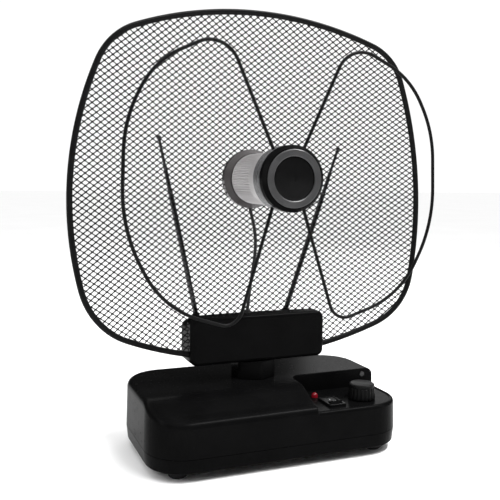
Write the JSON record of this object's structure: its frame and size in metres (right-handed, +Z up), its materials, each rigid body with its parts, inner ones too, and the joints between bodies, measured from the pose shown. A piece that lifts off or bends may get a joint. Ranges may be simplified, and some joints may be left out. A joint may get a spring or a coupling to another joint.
{
  "type": "indoor television aerial",
  "caption": "Powered indoor aerial with weighted base, swivelling head, telescopic rods, dished mesh reflector and wire loops on a ribbed hub.",
  "frame": {"origin": "on the table under the middle of the aerial", "axes": "+Z up, -Y the front with the loops and controls, +X to the right seen from the front"},
  "size_m": [0.2978, 0.131, 0.3439],
  "materials": {
    "body_plastic": "black moulded plastic, fine satin texture",
    "foot_rubber": "matt black rubber",
    "screw_steel": "zinc-plated steel",
    "black_screw": "blackened steel",
    "board": "green solder-mask board",
    "tin_plate": "tin plate",
    "nickel_plate": "nickel-plated brass",
    "red_lens": "red diffused lens, lit",
    "switch_plastic": "black switch plastic",
    "knob_plastic": "black moulded knob",
    "frame_paint": "black powder coat",
    "mesh_paint": "black coated expanded mesh",
    "flange_plastic": "black glossy plastic",
    "silver_barrel": "ribbed bright silver",
    "band_metal": "gunmetal",
    "trim_metal": "thin bright ring",
    "brass": "machined brass",
    "bezel_grey": "dark grey satin",
    "gloss_black": "gloss black",
    "cable_rubber": "black cable sheath",
    "rod_chrome": "bright chrome"
  },
  "bodies": {
    "base": {"amplifier_board": "board", "base_shell": "body_plastic", "bay_screw": "black_screw", "bottom_cover": "body_plastic", "cover_screws": "screw_steel", "dc_inlet": "body_plastic", "feet": "foot_rubber", "gain_potentiometer": "nickel_plate", "output_nut": "nickel_plate", "output_socket": "nickel_plate", "potentiometer_nut": "nickel_plate", "power_lamp": "red_lens", "shield_can": "tin_plate", "switch_housing": "switch_plastic"},
    "power_rocker": {"power_rocker": "switch_plastic"},
    "gain_control": {"gain_knob": "knob_plastic", "potentiometer_shaft": "nickel_plate"},
    "head": {"balun_board": "board", "cable_gland": "cable_rubber", "feed_cable": "cable_rubber", "housing_front": "body_plastic", "housing_rear": "body_plastic", "housing_screws": "black_screw", "hub_band": "band_metal", "hub_barrel": "silver_barrel", "hub_bezel": "bezel_grey", "hub_core": "body_plastic", "hub_disc": "gloss_black", "hub_flange": "flange_plastic", "hub_front_ring": "body_plastic", "hub_rear_cap": "body_plastic", "hub_rear_screw": "screw_steel", "hub_trim_ring": "trim_metal", "loop_left": "frame_paint", "loop_right": "frame_paint", "loop_terminals": "brass", "matching_board": "board", "neck_post": "body_plastic", "neck_retainer": "body_plastic", "reflector_mesh": "mesh_paint", "reflector_rim": "frame_paint", "retainer_screws": "screw_steel", "rod_screw_left": "screw_steel", "rod_screw_right": "screw_steel"},
    "rod_left": {"rod_knuckle_left": "body_plastic", "rod_base_left": "rod_chrome"},
    "rod_left_middle": {"rod_middle_left": "rod_chrome"},
    "rod_left_tip": {"rod_tip_left": "rod_chrome", "tip_ball_left": "rod_chrome"},
    "rod_right": {"rod_knuckle_right": "body_plastic", "rod_base_right": "rod_chrome"},
    "rod_right_middle": {"rod_middle_right": "rod_chrome"},
    "rod_right_tip": {"rod_tip_right": "rod_chrome", "tip_ball_right": "rod_chrome"}
  },
  "joints": [
    {"name": "head_swivel", "type": "hinge", "parent": "base", "child": "head", "pos_m": [0, 0.01, 0.0535], "axis": [0, 0, 1], "range_deg": [-165, 165]},
    {"name": "gain_turn", "type": "hinge", "parent": "base", "child": "gain_control", "pos_m": [0.075, -0.035, 0.0388], "axis": [0, 0, 1], "range_deg": [-140, 140]},
    {"name": "rocker_tilt", "type": "hinge", "parent": "base", "child": "power_rocker", "pos_m": [0.0475, -0.037, 0.037], "axis": [1, 0, 0], "range_deg": [0, 16]},
    {"name": "rod_left_tilt", "type": "hinge", "parent": "head", "child": "rod_left", "pos_m": [-0.0384, 0.037, 0.0925], "axis": [0, -1, 0], "range_deg": [-12.4, 77.6]},
    {"name": "rod_left_slide_1", "type": "slide", "parent": "rod_left", "child": "rod_left_middle", "axis": [-0.2147, 0, 0.9767], "range_m": [-0.018, 0.085]},
    {"name": "rod_left_slide_2", "type": "slide", "parent": "rod_left_middle", "child": "rod_left_tip", "axis": [-0.2147, 0, 0.9767], "range_m": [-0.018, 0.085]},
    {"name": "rod_right_tilt", "type": "hinge", "parent": "head", "child": "rod_right", "pos_m": [0.0384, 0.037, 0.0925], "axis": [0, 1, 0], "range_deg": [-19.3, 70.7]},
    {"name": "rod_right_slide_1", "type": "slide", "parent": "rod_right", "child": "rod_right_middle", "axis": [0.3305, 0, 0.9438], "range_m": [-0.018, 0.085]},
    {"name": "rod_right_slide_2", "type": "slide", "parent": "rod_right_middle", "child": "rod_right_tip", "axis": [0.3305, 0, 0.9438], "range_m": [-0.018, 0.085]}
  ]
}
